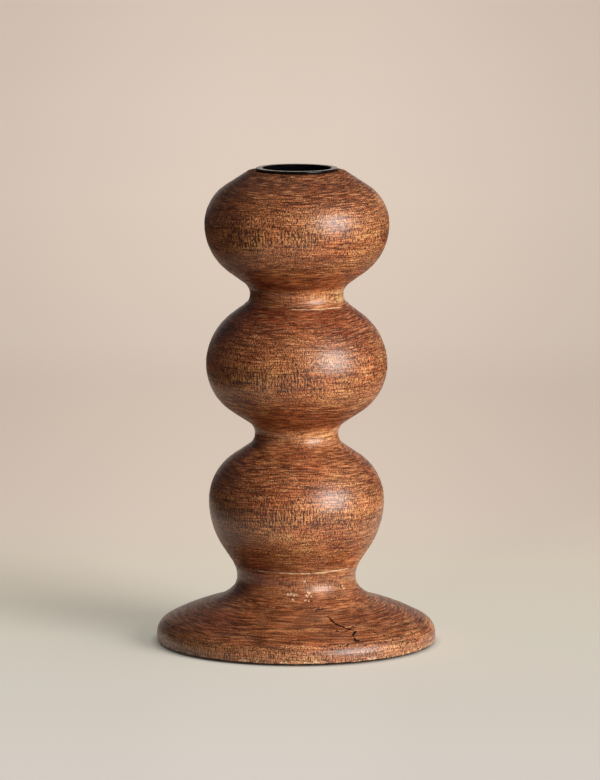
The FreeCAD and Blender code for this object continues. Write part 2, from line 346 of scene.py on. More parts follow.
def spaced(points, step, fine_heights):
    """The outline with points about a step apart, and closer near the heights of the joints."""
    along = lengths(points)
    dense = np.append(np.arange(0, along[-1], dense_step), along[-1])
    height = np.interp(dense, along, points[:, 1])
    size = np.full(len(dense), step)
    for joint in fine_heights:
        coarse = np.clip(np.abs(height - joint) / joint_reach - 0.3, 0, 1)
        size = np.minimum(size, joint_step + (step - joint_step) * coarse)
    count = np.append(0, np.cumsum(np.diff(dense) / size[1:]))
    picked = np.interp(np.linspace(0, count[-1], int(count[-1]) + 2), count, dense)
    return np.column_stack([np.interp(picked, along, points[:, axis]) for axis in (0, 1)])


def foot_flank():
    """Outline from under the foot's edge, up its saucer, to the throat of the waist."""
    down = np.array([0.0, -1.0])
    edge_cosine = 1 - foot_edge_inset / foot_edge_curve
    edge_facing = np.array([edge_cosine, math.sqrt(1 - edge_cosine ** 2)])
    arris_facing = facing(foot_arris_slope)
    crown_facing = facing(foot_crown_slope)
    sweep_facing = facing(foot_sweep_slope)
    edge_centre = np.array([foot_radius - foot_edge_curve, foot_bottom + foot_edge_land])
    arris = edge_centre + edge_facing * foot_edge_curve
    sweep_width = foot_sweep_curve * (sweep_facing[0] - crown_facing[0])
    throat_width = foot_neck_lower_curve * (1 - sweep_facing[0])
    crown_width = arris[0] - foot_neck_radius - sweep_width - throat_width
    crown_curve = crown_width / (arris_facing[0] - crown_facing[0])
    crown_centre = arris - arris_facing * crown_curve
    sweep_centre = crown_centre + crown_facing * (crown_curve + foot_sweep_curve)
    throat_centre = sweep_centre - sweep_facing * (foot_sweep_curve - foot_neck_lower_curve)
    corner = np.array([foot_radius - foot_bottom_round, foot_bottom + foot_bottom_round])
    flank = joined([
        [(felt_radius + felt_side_gap, foot_bottom), corner + down * foot_bottom_round],
        curve(corner, foot_bottom_round, down, outward),
        curve(edge_centre, foot_edge_curve, outward, edge_facing),
        curve(crown_centre, crown_curve, arris_facing, crown_facing),
        curve(sweep_centre, foot_sweep_curve, -crown_facing, -sweep_facing),
        curve(throat_centre, foot_neck_lower_curve, -sweep_facing, -outward),
    ])
    return flank, throat_centre[1]


def slant_between(across, rise, curves):
    """Unit vector square to the straight stretch between two arcs, whose radii add up to curves."""
    turn = math.atan2(rise, across) - math.acos(curves / math.hypot(across, rise))
    return np.array([math.cos(turn), math.sin(turn)])


def waist_flank(belly_radius, belly_height, fullness, neck_radius, neck_height, neck_curve):
    """Outline from the widest circle of a bobbin to the throat of a waist."""
    up = 1 if neck_height > belly_height else -1
    rise = abs(neck_height - belly_height)
    depth = belly_radius - neck_radius
    belly_curve = fullness * ((depth ** 2 + rise ** 2) / (2 * depth) - neck_curve)
    belly_centre = np.array([belly_radius - belly_curve, belly_height])
    neck_centre = np.array([neck_radius + neck_curve, neck_height])
    slant = slant_between(neck_centre[0] - belly_centre[0], rise, belly_curve + neck_curve) * (1, up)
    return joined([
        curve(belly_centre, belly_curve, outward, slant),
        curve(neck_centre, neck_curve, -slant, -outward),
    ])


def top_flank(belly_height):
    """Outline from the widest circle of the upper bobbin to the flat top."""
    height = wood_top - belly_height
    shoulder_curve = top_shoulder_share * height
    centre = np.array([upper_belly_radius - shoulder_curve, belly_height])
    edge = np.array([flange_radius + wood_top_margin, wood_top])
    slant = slant_between(edge[0] - centre[0], height, shoulder_curve)
    return joined([curve(centre, shoulder_curve, outward, slant), [edge]])


def wood_outline():
    """Outline of the stand's wood, and the heights of its waists from below and its bellies from above."""
    foot_part, throat = foot_flank()
    bellies = [throat + share * (wood_top - throat) for share in belly_heights]
    necks = [throat + share * (wood_top - throat) for share in neck_heights]
    stretches = [foot_part]
    for belly, fullness, neck, neck_curve in flanks:
        flank = waist_flank(belly_radii[belly], bellies[belly], fullness,
                            neck_radii[neck], necks[neck], neck_curve)
        stretches.append(flank if neck > belly else flank[::-1])
    stretches.append(top_flank(bellies[2]))
    return joined(stretches), necks[1:], bellies[::-1]


def between(outline, low, high):
    """The stretch of the wood's outline between two heights, and how far along it starts."""
    along = lengths(outline)
    start = np.interp(low, outline[1:, 1], along[1:]) if low > foot_bottom else 0.0
    end = np.interp(high, outline[1:, 1], along[1:])
    inside = (along > start) & (along < end)
    ends = [[np.interp(place, along, outline[:, axis]) for axis in (0, 1)] for place in (start, end)]
    return joined([ends[0], outline[inside], ends[1]]), start


def cell_and_share(position):
    """The cell of a grid that each position is in, and how far across it, eased at both ends."""
    cell = np.floor(position).astype(int)
    share = position - cell
    return cell, share ** 2 * (3 - 2 * share)


def drift(along, azimuth, length, cells, seed):
    """Smooth seeded noise from -1 to 1 on a turned surface, that closes round the axis."""
    rows = int(along.max() / length) + 3
    grid = np.random.default_rng(seed).uniform(-1, 1, (rows, cells))
    row, share_up = cell_and_share(along / length)
    column, share_round = cell_and_share((azimuth % 360) / 360 * cells)
    column = column % cells
    following = (column + 1) % cells
    low = grid[row, column] * (1 - share_round) + grid[row, following] * share_round
    high = grid[row + 1, column] * (1 - share_round) + grid[row + 1, following] * share_round
    return low * (1 - share_up) + high * share_up


def outline_normals(points):
    """Unit vectors square to an outline, to the right of its direction of travel."""
    travel = np.gradient(points, axis=0)
    travel /= np.linalg.norm(travel, axis=1)[:, None] + 1e-12
    return np.column_stack([travel[:, 1], -travel[:, 0]])


def turned(radius, height, azimuths):
    """Places at a radius and a height, turned to each azimuth."""
    angle = np.radians(azimuths)
    right = radius * np.sin(angle)
    return np.stack([right, -radius * np.cos(angle), np.broadcast_to(height, right.shape)], axis=-1)


def at_vertices(values, on_axis):
    """Values of a turned grid at each vertex, where an end on the axis is a single vertex."""
    if not on_axis:
        return values.reshape(-1, *values.shape[2:])
    rings = values[1:-1].reshape(-1, *values.shape[2:])
    return np.concatenate([values[0, :1], rings, values[-1, :1]])


def turned_faces(rows, columns, on_axis):
    """Faces of a turned mesh, closed by a fan at each end on the axis, or else as a loop."""
    rings = rows - 2 if on_axis else rows
    index = np.arange(rings * columns).reshape(rings, columns) + int(on_axis)
    beside = np.roll(index, -1, axis=1)
    quads = np.stack([index, beside, np.roll(beside, -1, axis=0), np.roll(index, -1, axis=0)], axis=-1)
    if not on_axis:
        return quads.reshape(-1, 4).tolist()
    start = np.zeros(columns, int)
    end = start + rings * columns + 1
    start_fan = np.stack([start, beside[0], index[0]], axis=-1)
    end_fan = np.stack([end, index[-1], beside[-1]], axis=-1)
    return quads[:-1].reshape(-1, 4).tolist() + start_fan.tolist() + end_fan.tolist()


def in_scene(name, data):
    """New object that holds a mesh, a lamp or a camera."""
    made = bpy.data.objects.new(name, data)
    bpy.context.scene.collection.objects.link(made)
    return made


def revolved(name, body, outline, azimuths, offset=0.0, fields=None):
    """Closed mesh turned from an outline. An outline that doesn't start and end on the axis is a loop."""
    on_axis = bool(outline[0, 0] < same_place)
    normals = outline_normals(outline)
    radius = outline[:, :1] + offset * normals[:, :1]
    height = outline[:, 1:] + offset * normals[:, 1:]
    vertices = at_vertices(turned(radius, height, azimuths), on_axis)
    mesh = bpy.data.meshes.new(name)
    mesh.from_pydata(vertices.tolist(), [], turned_faces(len(outline), len(azimuths), on_axis))
    for field, values in (fields or {}).items():
        attribute = mesh.attributes.new(field, "FLOAT", "POINT")
        attribute.data.foreach_set("value", at_vertices(values.astype(np.float32), on_axis))
    mesh.shade_smooth()
    mesh.set_sharp_from_angle(angle=math.radians(sharp_angle))
    piece = in_scene(name, mesh)
    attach(piece, body)
    return piece


def on_stand(azimuth, radius, height):
    """Place of a mark given by azimuth in degrees, and radius and height in millimetres."""
    angle = math.radians(azimuth)
    return np.array([radius * math.sin(angle), -radius * math.cos(angle), height]) * MM


def distance_to_spot(places, spot):
    """Distance of each place to a mark."""
    return np.linalg.norm(places - on_stand(*spot), axis=-1)


def distance_to_path(places, marks):
    """Distance of each place to the straight stretches between marks."""
    path = [on_stand(*mark) for mark in marks]
    nearest = np.full(places.shape[:-1], np.inf)
    for start, end in zip(path[:-1], path[1:]):
        travel = end - start
        share = np.clip((places - start) @ travel / (travel @ travel), 0, 1)[..., None]
        nearest = np.minimum(nearest, np.linalg.norm(places - start - share * travel, axis=-1))
    return nearest


def near(distance, size):
    """1 at a mark, falling smoothly to 0 beyond its size."""
    return np.exp(-(distance / size) ** 2)


def aside(azimuth, first, last):
    """Distance of azimuths from the middle of two, where 1 is at either of them."""
    middle = (first + last) / 2
    return np.abs((azimuth - middle + 180) % 360 - 180) / ((last - first) / 2)


def turning_marks(along, azimuth):
    """Relief of the lathe tool, of sanding and of wood that dried a little out of round."""
    return (
        tool_mark_depth * drift(along, azimuth, tool_mark_width, cells=7, seed=11)
        + fine_mark_depth * drift(along, azimuth, fine_mark_width, cells=60, seed=12)
        + out_of_round * drift(along, azimuth, out_of_round_length, cells=5, seed=13)
    )


def joint_marks(along, azimuth, block):
    """Relief of the hair gaps at a piece's ends and the ridge at its upper end, and where that is painted
    pale, as rubbed stain and as a painted highlight.
    """
    from_start = along - along.min()
    from_end = along.max() - along
    gaps = near(from_start, joint_gap_half_width) + near(from_end, joint_gap_half_width)
    relief = -joint_gap_depth * gaps
    rubbed_and_highlit = np.zeros_like(along)
    if block in rubbed_and_highlit_ridges:
        first, last, strength = rubbed_and_highlit_ridges[block]
        ragged = 0.75 + 0.55 * drift(along, azimuth, 0.4 * MM, cells=130, seed=31 + block)
        wavy = ridge_wave * drift(along, azimuth, 9 * MM, cells=17, seed=33 + block)
        ridge = near(from_end - ridge_below_joint - wavy, ridge_half_width) * ragged
        relief = relief + ridge_height * ridge
        elsewhere = np.clip(drift(along, azimuth, 5 * MM, cells=9, seed=35 + block), 0, 1)
        patch = np.clip(4 - 4 * aside(azimuth, first, last), 0, 1)
        rubbed_and_highlit = strength * ridge * np.maximum(patch, elsewhere)
    return relief, rubbed_and_highlit


def foot_scars(places, ragged):
    """Where the foot is cracked or pitted, where it is dark, and where it is chipped."""
    cracked = np.zeros_like(ragged)
    for half_width, *path in cracks:
        width = crack_spread * half_width * MM * ragged
        cracked = np.maximum(cracked, near(distance_to_path(places, path), width))
    for *spot, size in dark_pits:
        width = pit_spread * size * MM * ragged
        cracked = np.maximum(cracked, near(distance_to_spot(places, spot), width))
    chipped = np.zeros_like(ragged)
    for *spot, size in pale_chips:
        chipped = np.maximum(chipped, near(distance_to_spot(places, spot), size * MM * ragged))
    streak = near(distance_to_path(places, edge_streak), edge_streak_width * ragged)
    return cracked, np.maximum(cracked, edge_streak_darkness * streak), chipped


def foot_edge_wear(along, azimuth, height):
    """Relief of small chips along the foot's lower corner, and where its stain is rubbed off."""
    from_corner = np.abs(height - foot_bottom - foot_bottom_round - edge_corner_rise)
    # The underside is level with the corner but isn't worn, so it counts as a metre away
    from_corner = np.where(along < foot_radius - felt_radius - underside_margin, 1.0, from_corner)
    chips = np.clip(drift(along, azimuth, edge_chip_length, cells=300, seed=23) - 0.1, 0, 1)
    worn = np.clip(1.5 * drift(along, azimuth, edge_worn_length, cells=300, seed=24), 0, 1)
    relief = -edge_chip_depth * chips * near(from_corner, edge_chip_reach)
    return relief, 0.7 * worn * near(from_corner, 0.8 * edge_chip_reach)


def sole_contact_shade(along, azimuth, radius, height):
    """1 where the foot's lower corner is painted dark as shade where it meets the floor, up to a ragged line.
    """
    top = foot_bottom + sole_height * (1 + 0.35 * drift(along, azimuth, 2 * MM, cells=200, seed=25))
    at_corner = np.clip((radius - foot_radius + 2.0 * MM) / (0.8 * MM), 0, 1)
    return at_corner * np.clip((top - height) / sole_fade, 0, 1)


def foot_marks(along, azimuth, points):
    """Relief of the foot's scars and worn edge, and where the wood is rubbed or dark there, with painted
    shade along its lower corner.
    """
    radius, height = points[:, :1], points[:, 1:]
    ragged = 1 + 0.70 * drift(along, azimuth, 0.5 * MM, cells=420, seed=21)
    cracked, dark, chipped = foot_scars(turned(radius, height, azimuth), ragged)
    edge_relief, edge_rubbed = foot_edge_wear(along, azimuth, height)
    relief = -crack_depth * cracked - chip_depth * chipped + edge_relief
    # The edge is set back by the depth of the other marks, so that none of them stands out of the solid's box
    set_back = np.clip(1.6 - along / (20 * MM), 0, 1)
    relief = relief - set_back * (tool_mark_depth + fine_mark_depth + out_of_round)
    # Painted shade along the foot's lower corner, where it meets the floor
    dark = np.maximum(dark, sole_contact_shade(along, azimuth, radius, height))
    return relief, np.maximum(chipped, edge_rubbed), dark


def open_pore_field(along, azimuth, height, bellies):
    """How open the pores are in the bands under the bellies."""
    comb = np.zeros_like(along)
    elsewhere = np.clip(1.6 * drift(along, azimuth, 40 * MM, cells=11, seed=62) + 0.1, 0, 1)
    ragged = 0.9 + 0.45 * drift(along, azimuth, 1.6 * MM, cells=60, seed=61)
    for belly, (below, half_width, share, first, last) in zip(bellies, pore_bands):
        patch = np.clip(3 - 2.6 * aside(azimuth, first, last), 0, 1)
        band = near(height - belly + below, half_width) ** 0.7
        comb = np.maximum(comb, share * np.maximum(patch, elsewhere) * band * ragged)
    return comb


def waist_fields(along, azimuth, height, throats):
    """Where the waists are polished pale, with a painted highlight on the right, where painted shade darkens
    them away from it, and where they show less grit.
    """
    right = np.sin(np.radians(azimuth))
    right_side = np.clip(0.2 + 1.3 * right + 0.3 * drift(along, azimuth, 1.5 * MM, cells=40, seed=51), 0, 1)
    left_side = np.clip(-0.1 - 1.6 * right, 0, 1)
    above_lower = height - throats[0]
    above_upper = height - throats[1]
    above_foot = height - foot_flank()[1] - foot_throat_rise
    upper_throat = near(above_upper, upper_throat_reach)
    foot_throat = near(above_foot, foot_throat_reach)
    smooth = sum(map(near, (above_lower, above_upper, above_foot), smooth_reaches))
    return {
        # Paler throats, and a painted highlight on the right of the upper throat; painted shade on the rest
        # of it and on the left of the foot's throat
        "polished_and_highlit": near(above_lower, polished_reach) + 1.6 * upper_throat * right_side,
        "left_shade": 0.6 * upper_throat * (1 - right_side) + foot_throat * left_side,
        "smooth": np.clip(smooth, 0, 1),
    }


def end_fields(azimuth, height):
    """Where the foot's edge is paler, and where the wood is darker near the top and flat on it."""
    right = np.clip(np.sin(np.radians(azimuth)), 0, 1)
    return {
        "edge": np.clip((foot_edge_height - height) / edge_fade, 0, 1),
        # Darker stain near the top, with painted shade: it is kept lighter on the lit right side
        "top": np.clip((height - wood_top + top_shade_depth) / top_shade_fade, 0, 1) * (1 - 0.7 * right),
        "flat": np.clip((height - wood_top + flat_depth) / flat_fade, 0, 1),
    }


def wood_piece(name, block, low, high, columns, step, before=(), after=()):
    """One piece of wood: its skin between two heights, closed by the hollows before and after."""
    outline, throats, bellies = wood_outline()
    skin, start = between(outline, low, high)
    skin = spaced(skin, step, (foot_joint, middle_joint, upper_joint))
    stretches = [np.array(stretch, float).reshape(-1, 2) for stretch in (before, skin, after)]
    points = np.vstack(stretches)
    on_skin = np.repeat([False, True, False], [len(stretch) for stretch in stretches])
    along = np.full(len(points), start)
    along[on_skin] = start + lengths(skin)
    along[len(before) + len(skin):] = along[on_skin][-1]
    along, azimuth = np.meshgrid(along, columns, indexing="ij")
    # The streaks of the wood run on across the hollows
    whole = lengths(points)
    arc = np.repeat((start + whole - whole[len(before)])[:, None], len(columns), axis=1)
    height = np.repeat(points[:, 1:], len(columns), axis=1)
    relief, rubbed_and_highlit = joint_marks(along, azimuth, block)
    relief = relief + turning_marks(along, azimuth)
    dark = np.zeros_like(along)
    if name == "foot_wood":
        marks, chipped, dark = foot_marks(along, azimuth, points)
        relief = relief + marks
        rubbed_and_highlit = np.maximum(rubbed_and_highlit, chipped)
    fields = {
        "arc": arc,
        "block": np.full_like(along, block),
        "shaded": np.full_like(along, shoulder_stain_and_shade[block]),
        "rubbed_and_highlit": rubbed_and_highlit,
        "dark": dark,
        "comb": open_pore_field(along, azimuth, height, bellies),
        **waist_fields(along, azimuth, height, throats),
        **end_fields(azimuth, height),
    }
    return revolved(name, "stand", points, columns, relief * on_skin[:, None], fields)


def even_columns(count):
    """Azimuths evenly round the axis."""
    return np.arange(count) * 360 / count


def foot_piece():
    """Foot with its recess, counterbore and screw hole, and more columns where its cracks are."""
    coarse_span = 360 - (foot_fine_to - foot_fine_from)
    fine = np.linspace(foot_fine_from, foot_fine_to, foot_fine_columns, endpoint=False)
    coarse = foot_fine_to + np.arange(foot_columns) * coarse_span / foot_columns
    counterbore = washer_radius + washer_side_gap
    hollow = [
        (clearance_hole_radius, foot_joint),
        (clearance_hole_radius, washer_top),
        (counterbore, washer_top),
        (counterbore, felt_top),
        (felt_radius + felt_side_gap, felt_top),
    ]
    columns = np.append(fine, coarse)
    return wood_piece("foot_wood", 0, foot_bottom, foot_joint, columns, foot_step, after=hollow)


def dowel_hole(joint_end, hole_end):
    """Outline points of a dowel's hole, from the joint to the axis."""
    hole_radius = dowel_radius + dowel_glue_gap
    return [(hole_radius, joint_end), (hole_radius, hole_end), (0, hole_end)]


def bobbin_piece(name, block, low, high, before, after):
    """One bobbin between the hollows at its ends."""
    return wood_piece(name, block, low, high, even_columns(bobbin_columns), skin_step, before, after)


def lower_bobbin_piece():
    """Lower bobbin, with the screw's hole below and a dowel's hole above."""
    screw_hole_top = screw_tip + screw_end_gap
    before = [(0, screw_hole_top), (screw_hole_radius, screw_hole_top), (screw_hole_radius, foot_joint)]
    after = dowel_hole(middle_joint, middle_dowel_low - dowel_end_gap)
    return bobbin_piece("lower_bobbin_wood", 1, foot_joint, middle_joint, before, after)


def middle_bobbin_piece():
    """Middle bobbin, with a dowel's hole at both ends."""
    before = dowel_hole(middle_joint, middle_dowel_high + dowel_end_gap)[::-1]
    after = dowel_hole(upper_joint, upper_dowel_low - dowel_end_gap)
    return bobbin_piece("middle_bobbin_wood", 2, middle_joint, upper_joint, before, after)


def upper_bobbin_piece():
    """Upper bobbin, with a dowel's hole below and the cup's socket above."""
    socket_radius = cup_bore_radius + cup_wall + socket_side_gap
    socket_bottom = rivet_bottom - socket_end_gap
    before = dowel_hole(upper_joint, upper_dowel_high + dowel_end_gap)[::-1]
    after = [(flange_radius, wood_top), (socket_radius, wood_top), (socket_radius, socket_bottom),
             (0, socket_bottom)]
    return bobbin_piece("upper_bobbin_wood", 3, upper_joint, wood_top, before, after)


def cup_piece():
    """Pressed cup with a flange that rests on the wood."""
    floor_top = stand_top - cup_depth
    straight_end = stand_top - cup_lip_round - cup_straight_length
    outer_radius = cup_bore_radius + cup_wall
    tail_hole = spike_tail_radius + tail_hole_play
    outline = rounded([
        (tail_hole, cup_bottom, 0),
        (outer_radius - cup_taper, cup_bottom, cup_corner_round + cup_wall),
        (outer_radius, straight_end, 0),
        (outer_radius, wood_top, 0),
        (flange_radius - cup_flange_undercut, wood_top, 0),
        (flange_radius, stand_top, cup_flange_round),
        (cup_bore_radius, stand_top, cup_lip_round),
        (cup_bore_radius, straight_end, 0),
        (cup_bore_radius - cup_taper, floor_top, cup_corner_round),
        (tail_hole, floor_top, 0),
    ])
    columns = even_columns(cup_columns)
    inside = (outline[:, 0] < cup_bore_radius + 0.6 * cup_lip_round) & (outline[:, 1] > floor_top - 0.01 * MM)
    inside = np.repeat(inside[:, None], len(columns), axis=1)
    return revolved("black_cup", "cup", outline, columns, fields={"inside": inside})


def spike_piece():
    """Spike with a collar on the cup's floor and a tail riveted over underneath."""
    floor_top = stand_top - cup_depth
    collar_top = floor_top + spike_collar_height
    shank_top = spike_tip - spike_point_length
    outline = rounded([
        (0, rivet_bottom, 0),
        (rivet_radius, rivet_bottom, rivet_round),
        (rivet_radius, cup_bottom, 0),
        (spike_tail_radius, cup_bottom, 0),
        (spike_tail_radius, floor_top, 0),
        (spike_collar_radius, floor_top, 0),
        (spike_collar_radius, collar_top, spike_collar_round),
        (spike_radius, collar_top, spike_shank_round),
        (spike_radius, shank_top, 0),
        (spike_point_radius, spike_tip, spike_point_round),
        (0, spike_tip, 0),
    ])
    return revolved("spike", "cup", outline, even_columns(spike_columns))


def felt_piece():
    """Felt disc, flat where it is glued, with a soft fibrous edge and underside."""
    rings = np.linspace(0, felt_radius - felt_edge_reach, felt_rings)
    rings = np.append(rings, felt_radius - np.array([1.0, 0.5]) * MM)
    underside = [(ring, 0) for ring in rings]
    side = [(felt_radius, height) for height in felt_side_heights]
    top = [(felt_radius - felt_top_inset, felt_top), (felt_radius / 2, felt_top), (0, felt_top)]
    outline = np.array(underside + side + top)
    columns = even_columns(felt_columns)
    along, azimuth = np.meshgrid(lengths(outline), columns, indexing="ij")
    fibres = 0.5 + 0.5 * drift(along, azimuth, 1.1 * MM, cells=200, seed=41)
    loose = (outline[:, :1] > 0) * (outline[:, 1:] < felt_glued_height)
    return revolved("felt_pad", "stand", outline, columns, -felt_fibre_depth * fibres * loose)


class Value:
    """Output of a node. Sums and products with it make the nodes for them."""

    def __init__(self, nodes, socket):
        self.nodes = nodes
        self.socket = socket

    def __add__(self, other):
        return self.nodes.math("ADD", self, other)

    def __sub__(self, other):
        return self.nodes.math("SUBTRACT", self, other)

    def __rsub__(self, other):
        return self.nodes.math("SUBTRACT", other, self)

    def __mul__(self, other):
        return self.nodes.math("MULTIPLY", self, other)

    def __truediv__(self, other):
        return self.nodes.math("DIVIDE", self, other)


class Nodes:
    """Helper that builds a node tree."""

    def __init__(self, tree):
        self.tree = tree

    def put(self, socket, value):
        if isinstance(value, Value):
            self.tree.links.new(value.socket, socket)
        elif socket.type == "RGBA":
            socket.default_value = (*value, 1)
        else:
            socket.default_value = value

    def node(self, kind, values, output=0, **settings):
        made = self.tree.nodes.new("ShaderNode" + kind)
        for setting, value in settings.items():
            setattr(made, setting, value)
        for socket, value in values.items():
            self.put(made.inputs[socket], value)
        return Value(self, made.outputs[output])

    def math(self, operation, first, second=0.0):
        return self.node("Math", {0: first, 1: second}, operation=operation)

    def larger(self, first, second):
        return self.math("MAXIMUM", first, second)

    def vector(self, operation, first, second):
        return self.node("VectorMath", {0: first, 1: second}, operation=operation)

    def split(self, vector):
        """The three parts of a vector."""
        parts = self.node("SeparateXYZ", {0: vector}).socket.node.outputs
        return [Value(self, part) for part in parts]

    def spread(self, value, low, high, to_low=0.0, to_high=1.0, kind="SMOOTHSTEP"):
        """The value stretched so that low and high become two others, and held beyond them."""
        values = {0: value, 1: low, 2: high, 3: to_low, 4: to_high}
        return self.node("MapRange", values, interpolation_type=kind)

    def ramp(self, value, stops):
        made = self.node("ValToRGB", {0: value})
        elements = made.socket.node.color_ramp.elements
        while len(elements) < len(stops):
            elements.new(0.5)
        for element, (position, colour) in zip(elements, stops):
            element.position = position
            element.color = (*colour, 1)
        return made

    def mix(self, share, first, second, blend="MIX"):
        values = {0: share, 6: first, 7: second}
        return self.node("Mix", values, 2, data_type="RGBA", blend_type=blend, clamp_result=True)

    def tint(self, colour, share, tint):
        """The colour multiplied by a tint, by a share."""
        return self.mix(share, colour, tint, "MULTIPLY")


class Paint(Nodes):
    """Helper that builds one material."""

    def __init__(self, name):
        self.material = bpy.data.materials.new(name)
        self.material.use_nodes = True
        super().__init__(self.material.node_tree)
        self.surface = self.tree.nodes["Principled BSDF"]

    def place(self):
        """Coordinates on the object."""
        return self.node("TexCoord", {}, "Object")

    def stretched(self, *shares):
        """Coordinates on the object, stretched along each axis."""
        return self.vector("MULTIPLY", self.place(), shares)

    def attribute(self, name):
        return self.node("Attribute", {}, "Fac", attribute_name=name)

    def noise(self, place, scale=1.0, detail=2.0, roughness=0.5, distortion=0.0):
        values = {"Vector": place, "Scale": scale, "Detail": detail, "Roughness": roughness,
                  "Distortion": distortion}
        return self.node("TexNoise", values)

    def bump(self, height, strength, distance):
        values = {"Height": height, "Strength": strength, "Distance": distance}
        self.put(self.surface.inputs["Normal"], self.node("Bump", values))

    def finish(self, **values):
        for socket, value in values.items():
            self.put(self.surface.inputs[socket.replace("_", " ")], value)
        return self.material


def ring_noise(paint, turns, thickness, shift=0.0, detail=2, roughness=0.5):
    """Noise in marks that run round the turning axis, each about that thick."""
    direction = paint.vector("NORMALIZE", paint.stretched(1, 1, 0), (0, 0, 0))
    turned = paint.vector("MULTIPLY", direction, (turns, turns, 0))
    wander = paint.noise(paint.stretched(22, 22, 40), 1, 1) - 0.5
    level = (paint.attribute("arc") + wander * streak_wander) / thickness + shift
    place = paint.vector("ADD", turned, paint.node("CombineXYZ", {2: level}))
    return paint.noise(place, 1, detail, roughness)


def grain_noise(paint, width, length, detail=1, roughness=0.5):
    """Noise in marks that run along the wood's fibres, different for each block."""
    block = paint.attribute("block")
    shift = paint.vector("MULTIPLY", paint.node("CombineXYZ", {0: block, 1: block}), (0.37, 0.19, 0))
    place = paint.vector("ADD", paint.place(), shift)
    place = paint.vector("MULTIPLY", place, (1 / width, 1 / width, 1 / length))
    return paint.noise(place, 1, detail, roughness)


def open_pores(paint):
    """Long pores side by side under the bellies, 1 in a pore and 0 between."""
    right, back, _ = paint.split(paint.place())
    sway = paint.noise(paint.stretched(520, 520, 230), 1, 1)
    phase = paint.math("ARCTAN2", right, back) * pores_round + sway * 8.0
    pore = paint.spread(paint.math("SINE", phase), -0.05, 0.55)
    broken = paint.spread(grain_noise(paint, 0.8 * MM, 1.5 * MM), 0.38, 0.52)
    band = paint.spread(paint.attribute("comb"), 0.25, 0.65)
    return pore * broken * band


def stain_colour(paint):
    """Lighter and darker stain in streaks round the axis, and the noise of the streaks."""
    stain = ring_noise(paint, 0.9, 6.5 * MM, 0, 3, 0.55)
    streak = ring_noise(paint, 1.7, 0.9 * MM, 40, 4, 0.62)
    hair = ring_noise(paint, 7, 0.36 * MM, 90)
    cloud = grain_noise(paint, 13 * MM, 26 * MM, 3)
    tone = stain * 0.35 + streak * 0.27 + hair * 0.24 + cloud * 0.14
    colour = paint.ramp(tone, [
        (0.36, (0.260, 0.078, 0.026)),
        (0.44, (0.440, 0.150, 0.054)),
        (0.50, (0.590, 0.230, 0.088)),
        (0.56, (0.740, 0.315, 0.120)),
        (0.64, (0.850, 0.410, 0.170)),
    ])
    return colour, streak


def with_shape(paint, colour, rise):
    """The stain darker on shoulders, redder underneath, and paler in waists and on the foot's edge. Part of
    the darkening is painted shade, and part of the paleness in the waists is a painted highlight.
    """
    # Painted shade: slopes that face up are painted darker and redder, partly as stain that sits darker there
    shoulder = paint.spread(rise, 0.20, 0.80) * paint.attribute("shaded")
    blush = paint.spread(grain_noise(paint, 19 * MM, 15 * MM, 2), 0.48, 0.62)
    polished_and_highlit = paint.attribute("polished_and_highlit")
    for share, tint in (
        (shoulder, (0.60, 0.41, 0.39)),
        (paint.spread(rise, -0.50, -0.90), (0.92, 0.66, 0.50)),
        # Painted shade on the left of the waists
        (paint.attribute("left_shade"), (0.72, 0.52, 0.44)),
        (blush * 0.75, (0.90, 0.72, 0.66)),
        # Darker near the top, partly as painted shade away from the lit right side
        (paint.attribute("top"), (0.66, 0.63, 0.68)),
        # Paler waists, and a painted highlight on the right of the upper waist
        (polished_and_highlit, (1.38, 1.50, 1.56)),
        (paint.spread(polished_and_highlit, 0.95, 1.35), (1.25, 1.70, 1.95)),
        (paint.attribute("edge"), (1.05, 1.18, 1.34)),
    ):
        colour = paint.tint(colour, share, tint)
    return colour


def with_streaks(paint, colour):
    """The colour with thin dark and light streaks round the axis, and where the finest dark ones are."""
    fine_dark = paint.spread(ring_noise(paint, 3.2, 0.34 * MM, 170, 2, 0.6), 0.48, 0.59)
    long_dark = paint.spread(ring_noise(paint, 1.4, 0.80 * MM, 230, 3, 0.6), 0.56, 0.68)
    light = paint.spread(ring_noise(paint, 4.2, 0.36 * MM, 310), 0.52, 0.64)
    colour = paint.tint(colour, fine_dark * 0.90, (0.38, 0.27, 0.20))
    colour = paint.tint(colour, long_dark * 0.42, (0.42, 0.29, 0.22))
    return paint.mix(light * 0.34, colour, (0.84, 0.50, 0.26)), fine_dark


def with_pores(paint, colour):
    """The colour with pores along the grain, and where single pores and those of the bands are."""
    tick = paint.spread(grain_noise(paint, 0.33 * MM, 2.6 * MM), 0.50, 0.59)
    patches = paint.spread(grain_noise(paint, 7 * MM, 5 * MM, 2, 0.6), 0.34, 0.56)
    comb = open_pores(paint)
    pore = tick * patches
    colour = paint.tint(colour, paint.attribute("comb") * 0.8, (1.14, 1.14, 1.10))
    colour = paint.tint(colour, comb, (0.17, 0.10, 0.06))
    return paint.tint(colour, pore * 0.85, (0.30, 0.20, 0.14)), pore, comb


def with_grit(paint, colour, rise, fibre, speckle):
    """The colour with grit on the bellies, turned lines on the slopes, and less of both in the waists."""
    smooth = paint.attribute("smooth")
    steep = paint.spread(paint.math("ABSOLUTE", rise), 0.22, 0.75)
    grit = paint.ramp((fibre + speckle) * 0.5, [
        (0.41, (0.22, 0.16, 0.13)),
        (0.47, (1.10, 1.02, 0.98)),
        (0.56, (1.66, 1.70, 1.70)),
    ])
    lines = paint.ramp(ring_noise(paint, 5.5, 0.60 * MM, 410, 2, 0.6), [
        (0.40, (0.50, 0.44, 0.39)),
        (0.49, (1.00, 0.99, 0.97)),
        (0.58, (1.52, 1.60, 1.64)),
    ])
    colour = paint.tint(colour, 1.0 - smooth * 0.75 - steep * 0.5, grit)
    return paint.tint(colour, steep * (1.0 - smooth), lines)


